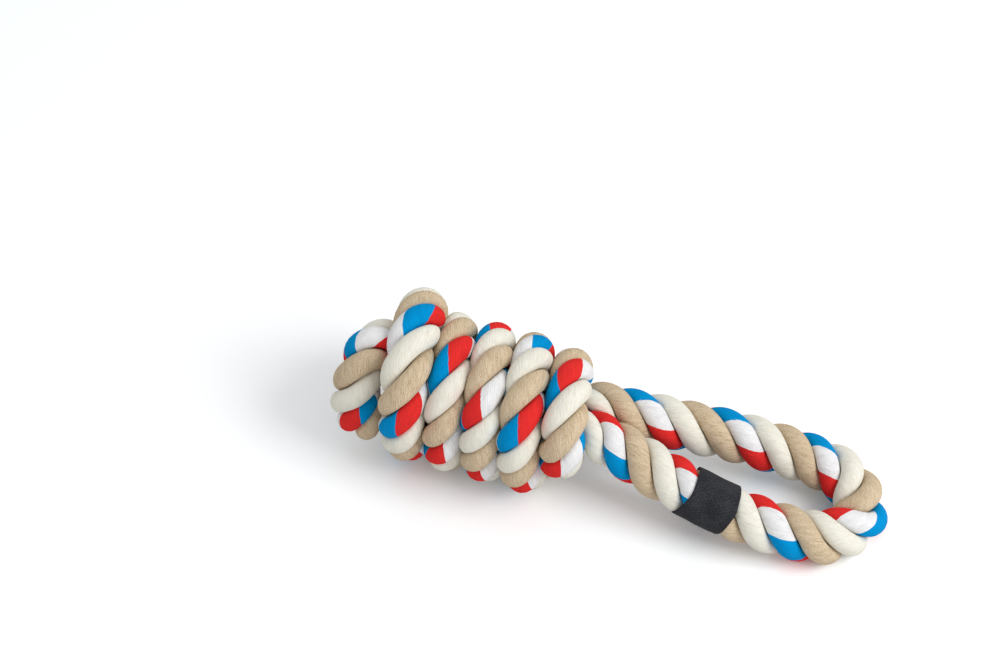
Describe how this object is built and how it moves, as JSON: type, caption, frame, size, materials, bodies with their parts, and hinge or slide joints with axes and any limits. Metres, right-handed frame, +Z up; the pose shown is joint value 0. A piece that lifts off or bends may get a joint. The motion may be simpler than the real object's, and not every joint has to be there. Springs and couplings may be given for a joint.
{
  "type": "rope dog toy",
  "caption": "Rope tug toy for a dog: a fat wound knot with a narrow handle loop of three-strand cotton rope and a cloth band.",
  "frame": {"origin": "on the floor under the middle of the toy's bounding box", "axes": "+X along the toy from the knot to the handle loop, +Z up, -Y towards the leg that carries the band"},
  "size_m": [0.3028, 0.0966, 0.0913],
  "materials": {
    "cream_cotton": "soft matt cotton yarn",
    "beige_cotton": "soft matt cotton yarn",
    "tricolour_cotton": "soft matt cotton yarn in blocks of red, white and blue",
    "band_cloth": "matt woven tape",
    "whipping_twine": "matt twine"
  },
  "bodies": {
    "root": {"near_leg_tail_cream": "cream_cotton", "near_leg_tail_tricolour": "tricolour_cotton", "near_leg_tail_beige": "beige_cotton", "near_leg_cream": "cream_cotton", "near_leg_tricolour": "tricolour_cotton", "near_leg_beige": "beige_cotton", "handle_bend_cream": "cream_cotton", "handle_bend_tricolour": "tricolour_cotton", "handle_bend_beige": "beige_cotton", "far_leg_cream": "cream_cotton", "far_leg_tricolour": "tricolour_cotton", "far_leg_beige": "beige_cotton", "far_leg_core_cream": "cream_cotton", "far_leg_core_tricolour": "tricolour_cotton", "far_leg_core_beige": "beige_cotton", "end_bight_cream": "cream_cotton", "end_bight_tricolour": "tricolour_cotton", "end_bight_beige": "beige_cotton", "return_run_cream": "cream_cotton", "return_run_tricolour": "tricolour_cotton", "return_run_beige": "beige_cotton", "winding_cream": "cream_cotton", "winding_tricolour": "tricolour_cotton", "winding_beige": "beige_cotton", "tucked_tail_cream": "cream_cotton", "tucked_tail_tricolour": "tricolour_cotton", "tucked_tail_beige": "beige_cotton", "label_band": "band_cloth", "near_end_whipping": "whipping_twine", "tail_end_whipping": "whipping_twine"}
  },
  "joints": []
}
